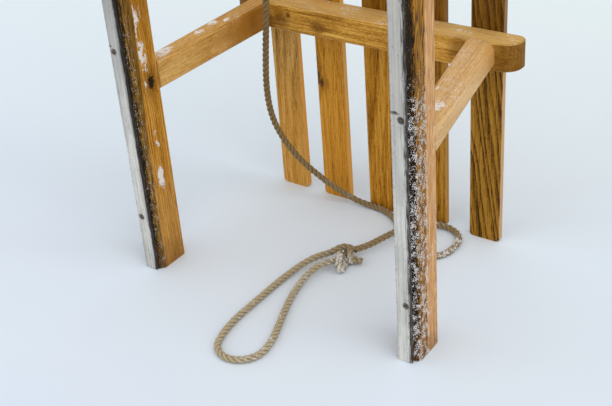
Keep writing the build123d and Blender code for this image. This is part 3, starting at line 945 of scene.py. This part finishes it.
def make_hitch():
    """A turn round the bar, a tight collar round the hanging line below it, and a short tail."""
    points = []
    for number in range(int(HITCH_TURNS * STEPS_PER_TURN) + 1):
        turns_done = number / STEPS_PER_TURN
        angle = -math.pi / 2 - 2 * math.pi * turns_done
        points.append((HITCH_X - HITCH_SHIFT + HITCH_PITCH * turns_done,
                       bar_centre.y + HITCH_TURN_RADIUS * math.sin(angle),
                       bar_centre.z + HITCH_TURN_RADIUS * math.cos(angle)))
    turns = laid_rope("rope_hitch_turns", centre_line("hitch_turns", points))
    middle = LINE_START + Z * 0.006
    collar = []
    for number in range(int(COLLAR_TURNS * STEPS_PER_TURN) + 1):
        turns_done = number / STEPS_PER_TURN
        angle = math.pi * (2 * turns_done + 0.7)
        ring = Vector((math.cos(angle), math.sin(angle), 0)) * COLLAR_RADIUS
        collar.append(middle + ring + Z * (COLLAR_PITCH * turns_done - 0.004))
    collar.append(collar[-1] + Vector((0.006, -0.004, -0.006)))
    collar.append(collar[-1] + Vector((0.004, -0.002, -0.010)))
    tail = laid_rope("rope_hitch_collar", centre_line("hitch_collar", collar), start_turn=1.0)
    inner = [LINE_START - Z * 0.001, LINE_START + Z * 0.008, LINE_START + Z * 0.020]
    hidden = laid_rope("rope_hitch_line", centre_line("hitch_line", inner))
    return [turns, tail, hidden]


def make_knot():
    """A knot drawn tight: the line becomes one strand of the loop, and the other strand's end is
    wound round both and comes out as a short tail."""

    def at(ahead, across, height):
        """A place in the knot, in millimetres from its middle and above the floor."""
        flat = KNOT_CENTRE + (KNOT_AHEAD * ahead + KNOT_ACROSS * across) * MM
        return Vector((flat.x, flat.y, height * MM))

    through = [at(-14, 0, 9.6), at(-12, 1.5, 10.2), at(-8, 4, 12.6), at(-2, 5.5, 14), at(5, 6.5, 12),
               at(9, 7, 10.4), at(14, 7.5, 9.6)]
    back = [at(14, -7.5, 9.6), at(9, -7, 8.8), at(3, -5, 7.4), at(-3, -1, 6.4), at(-7, 4, 5.4),
            at(-9, 9, 4.4)]
    ear = [at(-1, 8, 4), at(2, 5, 7), at(4, 0, 11), at(6, -6, 13.4), at(9.5, -12.5, 13), at(13.5, -18, 9.6),
           at(13.5, -20.5, 4.8), at(7, -17, 3.9), at(2, -8, 3.8), at(-2, -1, 3.8)]
    lobe = [at(-9, 9, 4.4), at(-9.5, 4, 8.4), at(-7.5, -1.5, 12.2), at(-5, -8, 13), at(-3, -12.5, 9.4),
            at(-3, -12.5, 5), at(-5, -8, 3.9)]
    tail = [at(2, -6, 5), at(-3, -9.5, 6), at(-7.5, -12.5, 6.6), at(-11, -15, 6.2), at(-13, -17, 5.4)]
    settings = (("through", through, 1.1), ("back", back, 2.0), ("ear", ear, 0.4), ("lobe", lobe, 1.7),
                ("tail", tail, 0.2))
    return [laid_rope(f"rope_knot_{name}", centre_line(f"knot_{name}", points), start_turn=turn)
            for name, points, turn in settings]


def make_rope():
    line = centre_line("line_route", LINE_ROUTE)
    loop = centre_line("loop_route", LOOP_ROUTE)
    rope_line = laid_rope("pull_rope", line)
    rope_loop = laid_rope("pull_rope_loop", loop, start_turn=0.8)
    hitch, knot = make_hitch(), make_knot()
    fuzz = [loose_fibres("pull_rope_fuzz", line, 900, 5), loose_fibres("pull_rope_loop_fuzz", loop, 300, 6)]
    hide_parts("rope_line")
    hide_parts("rope_loop")
    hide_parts("rope_hitch")
    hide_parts("rope_knot")
    for piece in (rope_line, rope_loop, *hitch, *knot, *fuzz):
        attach(piece, "root")


# Small metal pieces

# Share of the radius and of the rise at each ring of a head, from its foot up
HEAD_RINGS = ((1.0, 0.0), (0.96, 0.45), (0.72, 0.85), (0.38, 1.0))
HEAD_SIDES = 20
NAIL_RISE = 0.0006
NAIL_STANDOFF = 0.00002
SCREW_RADIUS = 0.0035
SCREW_RISE = 0.0005
SCREW_STANDOFF = 0.00004


def domed_heads(name, places, radius, rise, material):
    """Low domed heads at the given (place, outward direction), as one mesh."""
    vertices, faces = [], []
    for place, outward in places:
        side = outward.orthogonal().normalized()
        other = outward.cross(side)
        first = len(vertices)
        for share, lift in HEAD_RINGS:
            vertices += circle(place + outward * rise * lift, side, other, radius * share, HEAD_SIDES)
        faces += ring_faces(first, HEAD_SIDES, len(HEAD_RINGS))
        last = first + (len(HEAD_RINGS) - 1) * HEAD_SIDES
        faces.append(tuple(range(last, last + HEAD_SIDES)))
        faces.append(tuple(reversed(range(first, first + HEAD_SIDES))))
    piece = new_piece(name, vertices, faces, material)
    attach(piece, "root")
    return piece


def make_nails():
    material = plain_metal("nail_steel", rgb(110, 98, 84), rgb(58, 48, 40))
    places = []
    for side in SIDES:
        for level in range(NAIL_COUNT):
            height = NAIL_FIRST_Z + level * NAIL_GAP
            places.append((Vector((side * NAIL_X, sole_y - NAIL_STANDOFF, height)), -Y))
        for degrees in NAIL_TURNS:
            angle = math.radians(degrees)
            outward = Vector((0, -math.cos(angle), math.sin(angle)))
            centre = Vector((side * NAIL_X, sole_y + bend_radius, bend_z))
            places.append((centre + outward * bend_radius, outward))
    domed_heads("strip_nails", places, NAIL_RADIUS, NAIL_RISE, material)


def make_screws():
    material = plain_metal("screw_steel", rgb(176, 168, 150), rgb(120, 108, 92))
    levels = [middle_of(name).z for name in ("crossbeam_rear", "crossbeam_front", "pull_bar")]
    middles = [middle_of(f"slat_{number}").x for number in range(1, 6)]
    places = [(Vector((x, seat_y - SCREW_STANDOFF, level)), Y) for x in middles for level in levels]
    domed_heads("slat_screws", places, SCREW_RADIUS, SCREW_RISE, material)


# Stage, light and camera

FLOOR_HALF = 14
FLOOR_TONES = (rgb(219, 228, 241), rgb(226, 235, 237))
FLOOR_PATCH = rgb(226, 233, 238)
SEEN_SKY = rgb(220, 229, 234)
LIGHT_OF_SKY = (0.93, 0.97, 1.0, 1)
SKY_STRENGTH = 0.71

# Name, direction towards the lamp, its width in degrees, strength and colour
LAMPS = (
    ("key", (4.25, -1.5, 5.0), 60, 1.25, (1.0, 0.97, 0.92)),
    ("fill", (-3.5, -5.0, 3.5), 80, 0.60, (0.98, 0.99, 1.0)),
)


def make_stage():
    corners = [(x * FLOOR_HALF, y * FLOOR_HALF, 0) for x, y in ((-1, -1), (1, -1), (1, 1), (-1, 1))]
    graph = Graph("floor_pale")
    place = graph.place()
    soft = graph.noise(place, 3, 2)
    colour = graph.mix(graph.span(graph.split(place)[1], -0.4, 0.9), *FLOOR_TONES)
    colour = graph.mix(graph.span(soft, 0.3, 0.7, 0.0, 0.3), colour, FLOOR_PATCH)
    look = {"colour": colour, "roughness": 0.9, "height": soft}
    material = graph.finish(look, 0.0005, 0.1, Specular_IOR_Level=0.1)
    new_piece("floor", corners, [(0, 1, 2, 3)], material, smooth=False)


def make_world():
    world = bpy.data.worlds.new("studio")
    scene.world = world
    world.use_nodes = True
    tree = world.node_tree
    tree.nodes.clear()
    seen = tree.nodes.new("ShaderNodeBackground")
    seen.inputs[0].default_value = SEEN_SKY
    lit = tree.nodes.new("ShaderNodeBackground")
    lit.inputs[0].default_value = LIGHT_OF_SKY
    lit.inputs[1].default_value = SKY_STRENGTH
    path = tree.nodes.new("ShaderNodeLightPath")
    seen_rays = path.outputs["Is Camera Ray"]
    for kind in ("Is Glossy Ray", "Is Transmission Ray"):
        either = tree.nodes.new("ShaderNodeMath")
        either.operation = "MAXIMUM"
        tree.links.new(seen_rays, either.inputs[0])
        tree.links.new(path.outputs[kind], either.inputs[1])
        seen_rays = either.outputs[0]
    choice = tree.nodes.new("ShaderNodeMixShader")
    tree.links.new(seen_rays, choice.inputs[0])
    tree.links.new(lit.outputs[0], choice.inputs[1])
    tree.links.new(seen.outputs[0], choice.inputs[2])
    output = tree.nodes.new("ShaderNodeOutputWorld")
    tree.links.new(choice.outputs[0], output.inputs[0])


def make_light(name, towards, width, strength, colour):
    """A wide and distant lamp in the direction given, as seen from the sled."""
    data = bpy.data.lights.new(name, "SUN")
    data.angle = math.radians(width)
    data.energy = strength
    data.color = colour
    lamp = bpy.data.objects.new(name, data)
    lamp.rotation_euler = Vector(towards).to_track_quat("Z", "Y").to_euler()
    scene.collection.objects.link(lamp)


def make_camera():
    ahead = Vector((math.sin(CAMERA_YAW) * math.cos(CAMERA_PITCH),
                    math.cos(CAMERA_YAW) * math.cos(CAMERA_PITCH), -math.sin(CAMERA_PITCH)))
    right = ahead.cross(Z).normalized()
    top = right.cross(ahead)
    right_rolled = right * math.cos(CAMERA_ROLL) + top * math.sin(CAMERA_ROLL)
    top_rolled = top * math.cos(CAMERA_ROLL) - right * math.sin(CAMERA_ROLL)
    data = bpy.data.cameras.new("camera")
    data.sensor_width = SENSOR_WIDTH
    data.lens = FOCAL_PIXELS / PHOTO_WIDTH * SENSOR_WIDTH
    camera = bpy.data.objects.new("camera", data)
    turn = Matrix((right_rolled, top_rolled, -ahead)).transposed().to_4x4()
    camera.matrix_world = Matrix.Translation(CAMERA_PLACE) @ turn
    scene.collection.objects.link(camera)
    scene.camera = camera


ROPE_FIBRE = rope_fibre()
make_camera()
make_stage()
make_world()
for lamp in LAMPS:
    make_light(*lamp)
make_rope()
dress_runners()
dress_slats()
dress_beams()
dress_legs()
wood("pull_bar", (Y, Z, X), STRAW, pith=(0.08, 0.96), tilt=(0.01, 0.02), ring=0.003)
dress_strips()
make_nails()
make_screws()
scene.view_settings.view_transform = "Standard"
